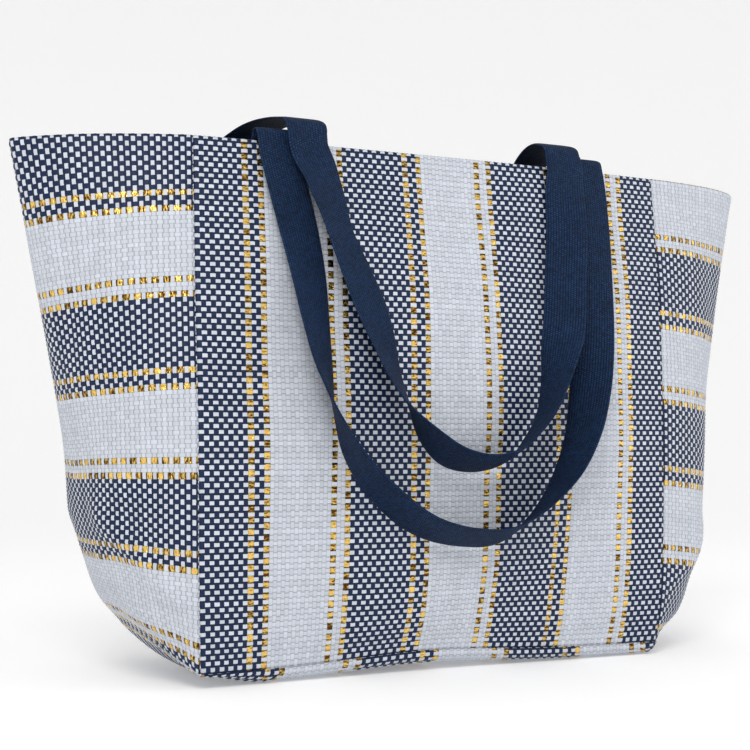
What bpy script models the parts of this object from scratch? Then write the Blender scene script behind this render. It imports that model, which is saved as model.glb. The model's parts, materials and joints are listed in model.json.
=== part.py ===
"""Woven striped tote bag: five cloth panels, hems and seam bindings, and two webbing handles.

The bag stands on its base and opens upwards. +X is to the bag's right seen from its front, -Y is
the front and +Z is up, in metres. Each panel is a thin sheet laid on a formula for its surface and
given its thickness by a Solidify modifier.
"""

import bmesh
import bpy
import numpy as np

MM = 0.001
COLLECTION = "woven_tote_bag"

# Driving dimensions, in millimetres.
CLOTH = 1.2  # thickness of the woven cloth
HEM_CLOTH = 0.9  # thickness of the turned-in hem
WEBBING = 2.0  # thickness of the handle webbing
WEBBING_WIDTH = 29.5
GAP = 0.3  # clearance between pieces that touch
SEAM_BACKOFF = CLOTH / 2 + GAP  # a panel's edge stops this far short of the seam line
RIM_HEIGHT = 351.0
SEAM_HEIGHT = 9.0  # the base's edges turn up this far to meet the side panels
SEAM_LENGTH = RIM_HEIGHT - SEAM_HEIGHT
BASE_HALF_DEPTH = 82.0
BASE_TURN = 10.0  # how far in from the seam the base lies flat on the ground
SLOPE_LENGTH = 50.0  # how far in from the left seam the base leaves the ground
CORNER_LIFT = (9.0, -6.0, 24.0)  # how far the back left foot is lifted and pulled in
SLOPE_SHARE = 0.3  # that slope as a share of the base's left half
HEM_DEPTH = 22.0
BINDING_WIDTH = 8.0
BINDING_THICKNESS = 2.4
HANDLE_END_LENGTH = 38.0
HANDLE_TOP = 353.2  # the sewn ends of the handles rise to here inside the rim
HEM_OFFSET = CLOTH / 2 + 2 * GAP + HEM_CLOTH / 2
HANDLE_OFFSET = HEM_OFFSET + HEM_CLOTH / 2 + GAP + WEBBING / 2

# Everything below is laid out about the middle of the rim, then moved by this much, so that the
# origin is under the middle of the whole object's box.
SHIFT = (-0.4, 15.9, 0.0)

# Share of the seam's length, from the base up, at which the tracks below give their points.
STATIONS = (0.0, 0.06, 0.17, 0.44, 0.72, 1.0)

# The front seams in plan, from the base up to the rim. The back seams mirror them in Y.
LEFT_SEAM = ((-194, -82), (-195, -84), (-196, -85), (-194, -78), (-190, -61), (-183, -38))
RIGHT_SEAM = ((153, -82), (155, -84), (157, -85), (163, -78), (173, -61), (182, -38))
# The folds down the middle of the side gussets, from the base up to the rim's two points.
LEFT_FOLD = ((-216, 8, 34), (-229, 8, 49), (-241, 8, 79), (-254, 8, 159), (-271, 8, 250), (-290, 8, 347))
RIGHT_FOLD = ((186, 0, 12), (211, 0, 21), (230, 0, 56), (246, 0, 152), (267, 0, 249), (290, 0, 351))
# How far the front and back panels bow out between their seams, and the gussets between seam and fold.
PANEL_BOW = (-4, 0, 6, 12, 12, 8)
GUSSET_BOW = (2, 8, 12, 12, 10, 7)
# How round the gusset's fold is, from 0, a knife edge, to 1, a smooth bulge.
FOLD_ROUND = (0.8, 0.7, 0.6, 0.4, 0.3, 0.25)

# The middles of the sewn ends of the handles, to left and right.
FRONT_HANDLE_X = (-127, 115.5)
BACK_HANDLE_X = (-125, 115)

# The middle of the webbing as it hangs, from its left end round to its right end: x, y, z and
# how far its outer edge has turned away from the front panel, in degrees.
FRONT_LOOP = (
    (-127, -46.6, 354.2, 2), (-127, -49.4, 344, 4), (-125, -52.8, 330, 5), (-120, -65.4, 290, 8),
    (-118, -76, 260, 17), (-117, -85.4, 229, 30), (-115, -94, 199, 46), (-111, -101.5, 173, 70),
    (-100, -106.8, 145, 95), (-80, -107.4, 121, 110), (-50, -108, 99, 116), (-17, -108.5, 90.5, 116),
    (10, -108.6, 91, 115), (31, -108.8, 102, 106), (48, -108.5, 117, 95), (61, -107.5, 133, 83),
    (74, -105, 157, 70), (86, -96.7, 188, 50), (95.5, -86.8, 220, 30), (103.5, -76, 257, 15),
    (112.5, -60.5, 306, 6), (115.5, -50.2, 344, 2), (115.5, -47.4, 354.2, 1),
)
BACK_LOOP = (
    (-107, -49.7, 358.4, 3), (-107, -52.6, 348, 5), (-102, -57.5, 332, 12), (-98.5, -65, 314, 20),
    (-94, -73.5, 290, 30), (-84, -80.5, 260, 24), (-77.5, -85.5, 240, 22), (-72.5, -91, 220, 30),
    (-69, -98, 200, 44), (-61, -105, 178, 64), (-47, -109.5, 157, 98), (-30, -110, 143.5, 114),
    (-10, -110, 139, 114), (5, -110, 140.5, 112), (19, -110, 146, 109), (31, -109.2, 157, 103),
    (43, -107, 171, 97), (53, -103, 191, 84), (60, -98.5, 210, 66), (69, -90, 231, 40),
    (77, -80, 265, 28), (86, -68, 305, 26), (92, -56.5, 336, 12), (95, -52.5, 348, 4),
    (95, -49.7, 358.4, 2),
)
# The two stretches of the back handle that cross the mouth of the bag, back to front.
LEFT_BRIDGE = ((-125, 32.7, 359.5), (-121, 12, 367), (-116, -10, 370), (-111, -28, 369.5), (-108, -40.7, 367.5))
RIGHT_BRIDGE = ((115, 32.7, 359.5), (110, 12, 368), (104, -10, 371.5), (99, -28, 370.5), (96, -40.7, 367.5))


def smooth_track(points, stations, where):
    """Points at the shares `where` of a smooth curve through `points`, which lie at `stations`."""
    points = np.asarray(points, float)
    stations = np.asarray(stations, float)
    slopes = np.gradient(points, stations, axis=0)
    where = np.atleast_1d(where)
    span = np.clip(np.searchsorted(stations, where, side="right") - 1, 0, len(stations) - 2)
    length = stations[span + 1] - stations[span]
    h = ((where - stations[span]) / length)[:, None]
    length = length[:, None]
    return (
        (2 * h**3 - 3 * h**2 + 1) * points[span]
        + (h**3 - 2 * h**2 + h) * length * slopes[span]
        + (3 * h**2 - 2 * h**3) * points[span + 1]
        + (h**3 - h**2) * length * slopes[span + 1]
    )


def at(track, level):
    """A point of a seam or of a fold at this level."""
    point = smooth_track(track, STATIONS, level)[0]
    return point if len(point) == 3 else np.append(point, SEAM_HEIGHT + SEAM_LENGTH * level)


def level_value(values, level):
    return float(np.interp(level, STATIONS, values))


def evenly(line, count, trim=0.0):
    """`count` + 1 points spaced evenly along a polyline, leaving out `trim` at each end."""
    steps = np.linalg.norm(np.diff(line, axis=0), axis=1)
    run = np.concatenate([[0.0], np.cumsum(steps)])
    wanted = np.linspace(trim, run[-1] - trim, count + 1)
    return np.stack([np.interp(wanted, run, line[:, axis]) for axis in range(3)], axis=1)


def mirrored(point):
    return point * (1, -1, 1)


def face_row(level, side, samples=60):
    """One level line of the front panel (side -1) or the back panel (side 1), left to right."""
    left, right = at(LEFT_SEAM, level), at(RIGHT_SEAM, level)
    across = np.linspace(0, 1, samples + 1)[:, None]
    row = left + (right - left) * across
    row[:, 1:2] -= level_value(PANEL_BOW, level) * 4 * across * (1 - across)
    return row if side < 0 else mirrored(row)


def gusset_row(level, seam, fold, samples=80):
    """One level line of a side gusset, from its front seam round the fold to its back seam."""
    front = at(seam, level)
    back = mirrored(front)
    middle = at(fold, level)
    roundness = level_value(FOLD_ROUND, level)
    across = np.linspace(-1, 1, samples + 1)[:, None]
    out = (np.sqrt(across**2 + roundness**2) - roundness) / (np.sqrt(1 + roundness**2) - roundness)
    row = middle + ((front + back) / 2 - middle) * out + (back - front) / 2 * across
    outward = np.sign(middle[0] - front[0])
    bow = level_value(GUSSET_BOW, level) * 4 * out * (1 - out)
    if outward < 0:  # the left gusset's back half hangs flatter near its foot
        bow *= np.where(across > 0, np.interp(level, (0.3, 0.55), (0.2, 1)), 1)
    row[:, 0:1] += outward * bow * 0.6
    row[:, 1:2] += np.sign(across) * bow * 0.8
    return row


def base_point(u, v):
    """The base at u, v in -1 to 1: flat on the ground, with its edges turned up to the seams.

    Its left end leaves the ground in a long slope, up to the raised foot of the left gusset.
    """
    turned = np.pi / 2 * np.clip((np.abs((u, v)) - 0.88) / 0.12, 0, 1)
    flat = np.clip(np.abs((u, v)) / 0.88, 0, 1)
    depth = (BASE_HALF_DEPTH - BASE_TURN) * flat[1] + BASE_TURN * np.sin(turned[1])
    y = np.sign(v) * depth
    middle = 1 - (y / BASE_HALF_DEPTH) ** 2
    foot = gusset_row(0.0, LEFT_SEAM, LEFT_FOLD)
    ends = (np.interp(y, foot[:, 1], foot[:, 0]), 153 + 33 * middle)
    centre, half = sum(ends) / 2, (ends[1] - ends[0]) / 2
    if u < 0:
        slope = np.clip((abs(u) - 1 + SLOPE_SHARE) / SLOPE_SHARE, 0, 1)
        reach = (half - SLOPE_LENGTH) * min(abs(u) / (1 - SLOPE_SHARE), 1) + SLOPE_LENGTH * slope
        rise = 1 - (1 - slope**1.6) * np.cos(turned[1])
        lift = np.interp(y, foot[:, 1], foot[:, 2]) if slope > 0 else SEAM_HEIGHT
    else:
        reach = (half - BASE_TURN) * flat[0] + BASE_TURN * np.sin(turned[0])
        rise = 1 - np.cos(turned[0]) * np.cos(turned[1])
        lift = SEAM_HEIGHT + 3 * middle * (u > 0.88)
    x = centre + np.sign(u) * reach
    y -= np.sign(v) * 4 * (1 - u * u) * abs(v)
    return np.array((x, y, CLOTH / 2 + (lift - SEAM_BACKOFF - CLOTH / 2) * rise))


def ease(share):
    share = np.clip(share, 0, 1)
    return share * share * (3 - 2 * share)


def with_raised_corner(points):
    """Cloth points with the back left foot of the bag lifted off the ground and pulled in."""
    x, y, z = points[..., 0], points[..., 1], points[..., 2]
    share = ease((-60 - x) / 134) * ease(y / 82) * ease((150 - z) / 150)
    return points + share[..., None] * np.array(CORNER_LIFT)


def lay_sheet(name, rows, thickness, colour, roughness, metallic=0.0):
    """A sheet through `rows` of points in millimetres, given `thickness` on both sides of them."""
    rows = with_raised_corner(np.asarray(rows, float))
    tall, wide = rows.shape[0] - 1, rows.shape[1] - 1
    bm = bmesh.new()
    bmesh.ops.create_grid(bm, x_segments=wide, y_segments=tall, size=0.5)
    for vertex in bm.verts:
        column = round((vertex.co.x + 0.5) * wide)
        line = round((vertex.co.y + 0.5) * tall)
        vertex.co = (rows[line, column] + SHIFT) * MM
    mesh = bpy.data.meshes.new(name)
    bm.to_mesh(mesh)
    bm.free()
    mesh.shade_smooth()
    piece = bpy.data.objects.new(name, mesh)
    bpy.data.collections[COLLECTION].objects.link(piece)
    mesh.materials.append(plain_material(name, colour, roughness, metallic))
    solid = piece.modifiers.new("thickness", "SOLIDIFY")
    solid.thickness = thickness * MM
    solid.offset = 0.0
    return piece


def plain_material(name, colour, roughness, metallic):
    material = bpy.data.materials.new(name)
    material.use_nodes = True
    shader = material.node_tree.nodes["Principled BSDF"]
    shader.inputs["Base Color"].default_value = (*colour, 1.0)
    shader.inputs["Roughness"].default_value = roughness
    shader.inputs["Metallic"].default_value = metallic
    return material


CLOTH_BLUE = (0.20, 0.25, 0.36)
CLOTH_WHITE = (0.66, 0.70, 0.76)
NAVY = (0.010, 0.025, 0.065)


def levels(count, low=0.0, high=1.0):
    """Levels from `low` to `high` of a seam, closer together at the foot, where it curves most."""
    return low + (high - low) * np.linspace(0, 1, count + 1) ** 1.25


def make_panels():
    low, high = SEAM_BACKOFF / SEAM_LENGTH, 1.0
    for name, side, colour in (("front_panel", -1, CLOTH_WHITE), ("back_panel", 1, CLOTH_WHITE)):
        rows = [evenly(face_row(level, side), 14, SEAM_BACKOFF) for level in levels(12, low, high)]
        lay_sheet(name, rows, CLOTH, colour, 0.5)
    for name, seam, fold in (("left_gusset", LEFT_SEAM, LEFT_FOLD), ("right_gusset", RIGHT_SEAM, RIGHT_FOLD)):
        rows = [evenly(gusset_row(level, seam, fold), 28, SEAM_BACKOFF) for level in levels(14, low, high)]
        lay_sheet(name, rows, CLOTH, CLOTH_BLUE, 0.5)
    turn = 1 - 0.12 * np.linspace(0, 1, 5)
    flat = np.linspace(-0.88, 0.88, 9)[1:-1]
    depths = np.concatenate([-turn, flat, turn[::-1]])
    slope = 1 - SLOPE_SHARE * np.linspace(0, 1, 8)
    lengths = np.concatenate([-slope, np.linspace(-0.7, 0.88, 8)[1:-1], turn[::-1]])
    lay_sheet("base_panel", [[base_point(u, v) for u in lengths] for v in depths], CLOTH, CLOTH_BLUE, 0.5)


def inward(row, distance):
    """The row moved sideways by `distance`, square to each of its stretches in plan."""
    run = np.diff(row[:, :2], axis=0)
    square = np.stack([-run[:, 1], run[:, 0]], axis=1) / np.linalg.norm(run, axis=1)[:, None]
    before, after = np.vstack([square[:1], square]), np.vstack([square, square[-1:]])
    moved = row.copy()
    moved[:, :2] += distance * (before + after) / (1 + (before * after).sum(axis=1))[:, None]
    return moved


def make_hems():
    """The cloth turned in round the rim, a strip against the inside of each panel."""
    strip = np.linspace(1 - HEM_DEPTH / SEAM_LENGTH, 0.998, 4)
    for name, side in (("rim_hem_front", -1), ("rim_hem_back", 1)):
        rows = [inward(evenly(face_row(level, side), 14, SEAM_BACKOFF), -side * HEM_OFFSET) for level in strip]
        lay_sheet(name, [evenly(row, 14, 4) for row in rows], HEM_CLOTH, CLOTH_WHITE, 0.5)
    for name, seam, fold, turn in (
        ("rim_hem_left", LEFT_SEAM, LEFT_FOLD, -1),
        ("rim_hem_right", RIGHT_SEAM, RIGHT_FOLD, 1),
    ):
        rows = [
            inward(evenly(gusset_row(level, seam, fold), 28, SEAM_BACKOFF), turn * HEM_OFFSET)[1:-1]
            for level in strip
        ]
        lay_sheet(name, rows, HEM_CLOTH, CLOTH_BLUE, 0.5)


def binding(name, line, direction):
    """A folded tape standing inwards from a seam line, over the raw edges of the two panels."""
    direction = np.asarray(direction, float) / np.linalg.norm(direction)
    near, far = SEAM_BACKOFF + BINDING_THICKNESS, SEAM_BACKOFF + BINDING_THICKNESS + BINDING_WIDTH
    lay_sheet(name, [line + direction * near, line + direction * far], BINDING_THICKNESS, NAVY, 0.8)


def make_bindings():
    up = np.linspace(0.075, 1 - (HEM_DEPTH + 6) / SEAM_LENGTH, 11)
    for name, seam, flip in (
        ("seam_binding_front_left", LEFT_SEAM, 1),
        ("seam_binding_front_right", RIGHT_SEAM, 1),
        ("seam_binding_back_left", LEFT_SEAM, -1),
        ("seam_binding_back_right", RIGHT_SEAM, -1),
    ):
        line = np.array([at(seam, level) for level in up]) * (1, flip, 1)
        binding(name, line, (-np.sign(line[0, 0]), flip, 0.0))
    for name, side in (("base_binding_front", -1), ("base_binding_back", 1)):
        binding(name, evenly(face_row(0.0, side), 10, 20), (0, -side, 1))
    for name, seam, fold, out in (
        ("base_binding_left", LEFT_SEAM, LEFT_FOLD, -1),
        ("base_binding_right", RIGHT_SEAM, RIGHT_FOLD, 1),
    ):
        binding(name, evenly(gusset_row(0.0, seam, fold), 10, 20), (-out, 0, 0.8))


def webbing_rows(line, directions, width=WEBBING_WIDTH):
    """Two edges of a webbing strip whose middle runs along `line`, with `directions` across it."""
    half = directions / np.linalg.norm(directions, axis=1)[:, None] * width / 2
    return [line - half, line, line + half]


def loop_rows(stations, count):
    """The rows of a hanging loop: each station gives the middle and the turn of the webbing."""
    stations = np.asarray(stations, float)
    reach = np.concatenate([[0], np.cumsum(np.linalg.norm(np.diff(stations[:, :3], axis=0), axis=1))])
    track = smooth_track(stations, reach, np.linspace(0, reach[-1], count + 1))
    line, turn = track[:, :3], np.radians(track[:, 3:])
    run = np.gradient(line, axis=0)
    run /= np.linalg.norm(run, axis=1)[:, None]
    away = np.array((0.0, -1.0, 0.0)) - run * -run[:, 1:2]
    away /= np.linalg.norm(away, axis=1)[:, None]
    within = np.cross(away, run)
    return webbing_rows(line, within * np.cos(turn) - away * np.sin(turn))


def face_y(x, height, side):
    """Where the front or back panel's middle surface lies at this x and height."""
    row = face_row((height - SEAM_HEIGHT) / SEAM_LENGTH, side)
    return float(np.interp(x, row[:, 0], row[:, 1]))


def make_handles():
    for handle, side, places in (("front_handle", -1, FRONT_HANDLE_X), ("back_handle", 1, BACK_HANDLE_X)):
        for end, middle in zip(("left", "right"), places):
            heights = np.linspace(HANDLE_TOP - HANDLE_END_LENGTH, HANDLE_TOP, 6)
            rows = [
                [(x, face_y(x, height, side) - side * HANDLE_OFFSET, height) for height in heights]
                for x in (middle - WEBBING_WIDTH / 2, middle, middle + WEBBING_WIDTH / 2)
            ]
            lay_sheet(f"{handle}_{end}_end", rows, WEBBING, NAVY, 0.8)
    lay_sheet("front_handle_loop", loop_rows(FRONT_LOOP, 90), WEBBING, NAVY, 0.8)
    lay_sheet("back_handle_loop", loop_rows(BACK_LOOP, 90), WEBBING, NAVY, 0.8)
    for name, stations in (("back_handle_left_bridge", LEFT_BRIDGE), ("back_handle_right_bridge", RIGHT_BRIDGE)):
        stations = np.array(stations, float)
        reach = np.linspace(0, 1, len(stations))
        line = smooth_track(stations, reach, np.linspace(0, 1, 15))
        across = np.tile((1.0, 0.0, 0.0), (len(line), 1))
        lay_sheet(name, webbing_rows(line, across), WEBBING, NAVY, 0.8)


def main():
    for leftover in list(bpy.data.objects):
        bpy.data.objects.remove(leftover)
    collection = bpy.data.collections.new(COLLECTION)
    bpy.context.scene.collection.children.link(collection)
    make_panels()
    make_hems()
    make_bindings()
    make_handles()


if __name__ == "__main__":
    main()
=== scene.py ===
"""Dresses the woven tote bag: striped tape cloth, hems and seams, stitching and webbing handles.

Run as a script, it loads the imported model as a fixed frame, builds each visible piece round it in
the same axes, and sets up the stage. +X is to the bag's right, -Y its front and +Z up, in metres.
"""

import json
import math

import bmesh
import bpy
import numpy as np
from mathutils import Matrix, Vector

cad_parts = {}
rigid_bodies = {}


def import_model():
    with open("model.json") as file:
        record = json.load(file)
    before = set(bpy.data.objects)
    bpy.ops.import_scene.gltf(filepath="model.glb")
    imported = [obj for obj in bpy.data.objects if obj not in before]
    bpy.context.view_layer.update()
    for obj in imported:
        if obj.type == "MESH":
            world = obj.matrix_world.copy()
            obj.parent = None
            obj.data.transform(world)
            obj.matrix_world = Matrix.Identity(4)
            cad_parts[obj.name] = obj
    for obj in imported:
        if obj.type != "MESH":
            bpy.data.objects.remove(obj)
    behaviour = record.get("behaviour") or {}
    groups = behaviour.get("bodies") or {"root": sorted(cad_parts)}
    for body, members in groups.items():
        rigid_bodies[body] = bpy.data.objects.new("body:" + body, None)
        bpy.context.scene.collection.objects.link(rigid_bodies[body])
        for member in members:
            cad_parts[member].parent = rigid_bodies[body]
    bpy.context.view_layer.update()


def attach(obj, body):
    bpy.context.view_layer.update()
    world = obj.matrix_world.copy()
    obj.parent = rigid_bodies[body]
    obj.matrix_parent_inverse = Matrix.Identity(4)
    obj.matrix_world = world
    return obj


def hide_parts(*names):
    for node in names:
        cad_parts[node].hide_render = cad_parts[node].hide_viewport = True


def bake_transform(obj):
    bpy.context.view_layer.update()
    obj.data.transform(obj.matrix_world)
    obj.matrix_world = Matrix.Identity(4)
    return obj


bl_info = {
    "name": "Woven Tote Bag",
    "version": (1, 0, 0),
    "blender": (4, 5, 0),
    "location": "View3D > Sidebar > Tote Bag",
    "description": "Builds the cloth, seams, stitching and handles of a striped woven tote bag",
    "category": "Add Mesh",
}

for leftover in list(bpy.data.objects):
    bpy.data.objects.remove(leftover)
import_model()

MM = 0.001
SHIFT = np.array((-0.4, 15.9, 0.0))  # from the middle of the rim to the frame's axes, in mm

# Shape of the bag, in millimetres, at these shares of the seams' length from the base to the rim.
STATIONS = (0.0, 0.06, 0.17, 0.44, 0.72, 1.0)
LEFT_SEAM = ((-194, -82), (-195, -84), (-196, -85), (-194, -78), (-190, -61), (-183, -38))
RIGHT_SEAM = ((153, -82), (155, -84), (157, -85), (163, -78), (173, -61), (182, -38))
LEFT_FOLD = (
    (-216, 8, 34), (-229, 8, 49), (-241, 8, 79), (-254, 8, 159), (-271, 8, 250), (-290, 8, 347),
)
RIGHT_FOLD = (
    (186, 0, 12), (211, 0, 21), (230, 0, 56), (246, 0, 152), (267, 0, 249), (290, 0, 351),
)
PANEL_BOW = (-4, 0, 6, 12, 12, 8)
GUSSET_BOW = (2, 8, 12, 12, 10, 7)
FOLD_ROUND = (0.8, 0.7, 0.6, 0.4, 0.3, 0.25)
RIM_HEIGHT = 351.0
SEAM_HEIGHT = 9.0
SEAM_RISE = RIM_HEIGHT - SEAM_HEIGHT
SEAM_LENGTH = 349.0  # along the seam's own curve
SEAM_BACKOFF = 0.75
BASE_HALF_DEPTH = 82.0
BASE_TURN = 10.0
SLOPE_LENGTH = 50.0  # how far in from the left seam the base leaves the ground
SLOPE_SHARE = 0.3
CORNER_LIFT = (9.0, -6.0, 24.0)  # how far the back left foot is lifted and pulled in
BASE_LIFT = 1.05  # the middle of the base cloth clears the ground by this much
NET_ROWS = 141  # rows of the net that each panel's surface is read from
HEM_TURN = 1.2  # radius of the turn where the hem folds over the rim

# The weave: one repeat of the stripes, as warp yarns of navy, gold and white.
STRIPES = "n" * 14 + "gnng" + "w" * 15 + "gwwg"
WARP_WIDTHS = {"n": 3.22, "w": 2.87, "g": 4.1}
FLAT_WARP = 3.1
WEFT = 3.743
GUSSET_WEFTS = 59
BASE_WEFTS = 46
PANEL_WIDTH = 367.5  # across all the warps of the front
BASE_WIDTH = 365.0
FRONT_PHASE = 12.9
LEFT_PHASE = 7.1
RIGHT_PHASE = 58.2
BASE_PHASE = -3.1
STRIPE_DROP = {"left": 0.012, "right": 0.0}  # the stripes' sag at the fold, as a share of the seam
SEAM_YARNS = 2  # yarns turned in at a seam
ALLOWANCE = SEAM_YARNS * FLAT_WARP
PANEL_HEM = 22.4  # how far the cloth runs down inside the rim
GUSSET_HEM = 21.6
CLOTH_FOOT = SEAM_LENGTH + 0.7 - SEAM_BACKOFF  # depth of the last row before the seam allowance
REPEATS = 6  # repeats of the stripes laid out, of which LEAD come before the cloth's first edge
LEAD = 2
GAP_SHADE = 0.36

FRONT_HANDLE_X = (-127, 115.5)
BACK_HANDLE_X = (-125, 115)
FRONT_LOOP = (
    (-127, -46.6, 354.2, 2), (-127, -49.4, 344, 4), (-125, -52.8, 330, 5), (-120, -65.4, 290, 8),
    (-118, -76, 260, 17), (-117, -85.4, 229, 30), (-115, -94, 199, 46), (-111, -101.5, 173, 70),
    (-100, -106.8, 145, 95), (-80, -107.4, 121, 110), (-50, -108, 99, 116), (-17, -108.5, 90.5, 116),
    (10, -108.6, 91, 115), (31, -108.8, 102, 106), (48, -108.5, 117, 95), (61, -107.5, 133, 83),
    (74, -105, 157, 70), (86, -96.7, 188, 50), (95.5, -86.8, 220, 30), (103.5, -76, 257, 15),
    (112.5, -60.5, 306, 6), (115.5, -50.2, 344, 2), (115.5, -47.4, 354.2, 1),
)
BACK_LOOP = (
    (-107, -49.7, 358.4, 3), (-107, -52.6, 348, 5), (-102, -57.5, 332, 12), (-98.5, -65, 314, 20),
    (-94, -73.5, 290, 30), (-84, -80.5, 260, 24), (-77.5, -85.5, 240, 22), (-72.5, -91, 220, 30),
    (-69, -98, 200, 44), (-61, -105, 178, 64), (-47, -109.5, 157, 98), (-30, -110, 143.5, 114),
    (-10, -110, 139, 114), (5, -110, 140.5, 112), (19, -110, 146, 109), (31, -109.2, 157, 103),
    (43, -107, 171, 97), (53, -103, 191, 84), (60, -98.5, 210, 66), (69, -90, 231, 40),
    (77, -80, 265, 28), (86, -68, 305, 26), (92, -56.5, 336, 12), (95, -52.5, 348, 4),
    (95, -49.7, 358.4, 2),
)
LEFT_BRIDGE = (
    (-125, 32.7, 359.5), (-121, 12, 367), (-116, -10, 370), (-111, -28, 369.5), (-108, -40.7, 367.5),
)
RIGHT_BRIDGE = (
    (115, 32.7, 359.5), (110, 12, 368), (104, -10, 371.5), (99, -28, 370.5), (96, -40.7, 367.5),
)
WEBBING_MARGIN = 60  # keeps the webbing's map positive across its width
TAPE_WIDTH = 8.6
TAPE_THICKNESS = 3.5
TAPE_OFFSET = 7.4  # from the seam line to the middle of its tape
TOPSTITCH_DEPTH = 5.6
BOX_OFFSETS = {-1: -4.55, 1: 0.9}  # from the panel to the box stitches inside and outside it

# Relief of the materials' bump, in metres.
CLOTH_BUMP = 0.00032
WEBBING_BUMP = 0.0006
THREAD_BUMP = 0.0001


# ---- Settings ----


class ToteClothSettings(bpy.types.PropertyGroup):
    """Sizes of the woven cloth."""

    thickness: bpy.props.FloatProperty(
        name="Thickness", description="Thickness of the cloth between its crowns", default=0.0011,
        unit="LENGTH",
    )
    relief: bpy.props.FloatProperty(
        name="Relief", description="How far each crossing's crown stands proud", default=0.00034,
        unit="LENGTH",
    )
    softness: bpy.props.FloatProperty(
        name="Softness", description="Depth of the broad dents in the panels", default=0.0012,
        unit="LENGTH",
    )


class ToteColourSettings(bpy.types.PropertyGroup):
    """Colours of the yarns, thread and webbing."""

    navy: bpy.props.FloatVectorProperty(
        name="Navy", description="Navy warps", subtype="COLOR", size=3,
        default=(0.0055, 0.0175, 0.060),
    )
    white: bpy.props.FloatVectorProperty(
        name="White", description="White warps and wefts", subtype="COLOR", size=3,
        default=(0.62, 0.655, 0.73),
    )
    # Gold is the film's own colour, and it is also the bright end of the reflections painted on the
    # film
    gold: bpy.props.FloatVectorProperty(
        name="Gold", description="Bright side of the gold film", subtype="COLOR", size=3,
        default=(0.92, 0.62, 0.17),
    )
    # Painted shade: the dark end of the reflections painted on the gold film
    painted_film_shade: bpy.props.FloatVectorProperty(
        name="Painted Film Shade", description="Dark side of the gold film", subtype="COLOR", size=3,
        default=(0.10, 0.045, 0.010),
    )
    webbing: bpy.props.FloatVectorProperty(
        name="Webbing", description="Webbing of the handles", subtype="COLOR", size=3,
        default=(0.0075, 0.024, 0.068),
    )


class ToteTrimSettings(bpy.types.PropertyGroup):
    """Sizes of the handles, tapes and stitches."""

    webbing_width: bpy.props.FloatProperty(
        name="Webbing Width", description="Width of the handle webbing", default=0.0295,
        unit="LENGTH",
    )
    webbing_thickness: bpy.props.FloatProperty(
        name="Webbing Thickness", description="Thickness of the handle webbing", default=0.002,
        unit="LENGTH",
    )
    stitch_length: bpy.props.FloatProperty(
        name="Stitch Length", description="Length of one stitch with its gap", default=0.006,
        unit="LENGTH",
    )
    thread: bpy.props.FloatProperty(
        name="Thread", description="Thickness of the sewing thread", default=0.0008, unit="LENGTH"
    )


# ---- Curves and surfaces ----


def smooth_track(points, stations, where):
    """Points at the shares `where` of a smooth curve through `points`, which lie at `stations`."""
    points = np.asarray(points, float)
    stations = np.asarray(stations, float)
    slopes = np.gradient(points, stations, axis=0)
    where = np.atleast_1d(where)
    span = np.clip(np.searchsorted(stations, where, side="right") - 1, 0, len(stations) - 2)
    length = stations[span + 1] - stations[span]
    h = ((where - stations[span]) / length)[:, None]
    length = length[:, None]
    return (
        (2 * h**3 - 3 * h**2 + 1) * points[span]
        + (h**3 - 2 * h**2 + h) * length * slopes[span]
        + (3 * h**2 - 2 * h**3) * points[span + 1]
        + (h**3 - h**2) * length * slopes[span + 1]
    )


def smoothstep(low, high, value):
    share = np.clip((value - low) / (high - low), 0, 1)
    return share * share * (3 - 2 * share)


def at(track, level):
    """A point of a seam or of a fold at this level."""
    point = smooth_track(track, STATIONS, level)[0]
    return point if len(point) == 3 else np.append(point, SEAM_HEIGHT + SEAM_RISE * level)


def level_value(values, level):
    return float(np.interp(level, STATIONS, values))


def foot_lift(x):
    """How far the front panel's lower edge stands above the level of its corners."""
    return 5.0 * np.exp(-(((x + 30) / 75) ** 2))


def face_line(level, side):
    left, right = at(LEFT_SEAM, level), at(RIGHT_SEAM, level)
    across = np.linspace(0, 1, 61)[:, None]
    row = left + (right - left) * across
    row[:, 1:2] -= level_value(PANEL_BOW, level) * 4 * across * (1 - across)
    row[:, 2] += foot_lift(row[:, 0]) * max(0.0, 1 - level * 5) ** 2 * (1.0 if side < 0 else 0.4)
    return row * (1, -side, 1)


def gusset_line(level, seam, fold):
    front = at(seam, level)
    back = front * (1, -1, 1)
    middle = at(fold, level)
    roundness = level_value(FOLD_ROUND, level)
    across = np.linspace(-1, 1, 121)[:, None]
    out = (np.sqrt(across**2 + roundness**2) - roundness) / (np.sqrt(1 + roundness**2) - roundness)
    row = middle + ((front + back) / 2 - middle) * out + (back - front) / 2 * across
    bow = level_value(GUSSET_BOW, level) * 4 * out * (1 - out)
    if middle[0] < 0:  # the left gusset's back half hangs flatter near its foot
        bow *= np.where(across > 0, np.interp(level, (0.3, 0.55), (0.2, 1)), 1)
    row[:, 0:1] += np.sign(middle[0] - front[0]) * bow * 0.6
    row[:, 1:2] += np.sign(across) * bow * 0.8
    return row


def with_raised_corner(points):
    """Cloth points, in mm, with the back left foot of the bag lifted off the ground and pulled in."""
    x, y, z = points[..., 0], points[..., 1], points[..., 2]
    share = smoothstep(-60, -194, x) * smoothstep(0, 82, y) * smoothstep(150, 0, z)
    return points + share[..., None] * np.array(CORNER_LIFT)


def run_along(line):
    """How far along a polyline each of its points lies."""
    return np.concatenate([[0.0], np.cumsum(np.linalg.norm(np.diff(line, axis=0), axis=1))])


def points_along(line, wanted):
    """Points of a polyline at these distances along it."""
    run = run_along(line)
    return np.stack([np.interp(wanted, run, line[:, axis]) for axis in range(3)], axis=1)


def spread(line, shares):
    """Points of a polyline at these shares of its length, a seam's back-off in from each end."""
    length = run_along(line)[-1]
    return points_along(line, SEAM_BACKOFF + (length - 2 * SEAM_BACKOFF) * shares)


def resampled(line, spacing):
    length = run_along(line)[-1]
    return points_along(line, np.linspace(0, length, max(2, int(length / spacing) + 1)))


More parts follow.
